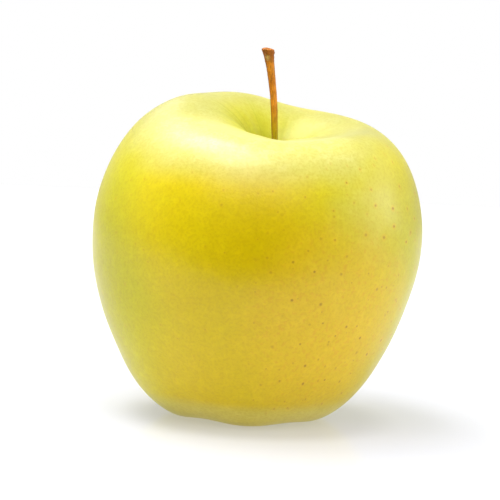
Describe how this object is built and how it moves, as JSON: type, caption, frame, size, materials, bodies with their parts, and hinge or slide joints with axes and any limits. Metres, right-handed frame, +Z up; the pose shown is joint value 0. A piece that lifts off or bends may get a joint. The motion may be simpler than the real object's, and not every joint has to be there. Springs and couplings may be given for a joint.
{
  "type": "whole apple",
  "caption": "Whole ripe yellow apple with its woody stem and dried calyx, standing upright on the knobs of its base.",
  "frame": {"origin": "on the table, under the middle of the fruit's width and depth", "axes": "+Z up along the fruit's height; -Y towards the side the picture shows, so +X is its right-hand side"},
  "size_m": [0.078, 0.078, 0.088],
  "materials": {
    "skin": "smooth waxy skin",
    "bark": "dry and slightly ridged",
    "husk": "dry and papery"
  },
  "bodies": {
    "root": {"fruit": "skin", "stem": "bark", "sepal_1": "husk", "sepal_2": "husk", "sepal_3": "husk", "sepal_4": "husk", "sepal_5": "husk", "calyx_tuft": "husk"}
  },
  "joints": []
}
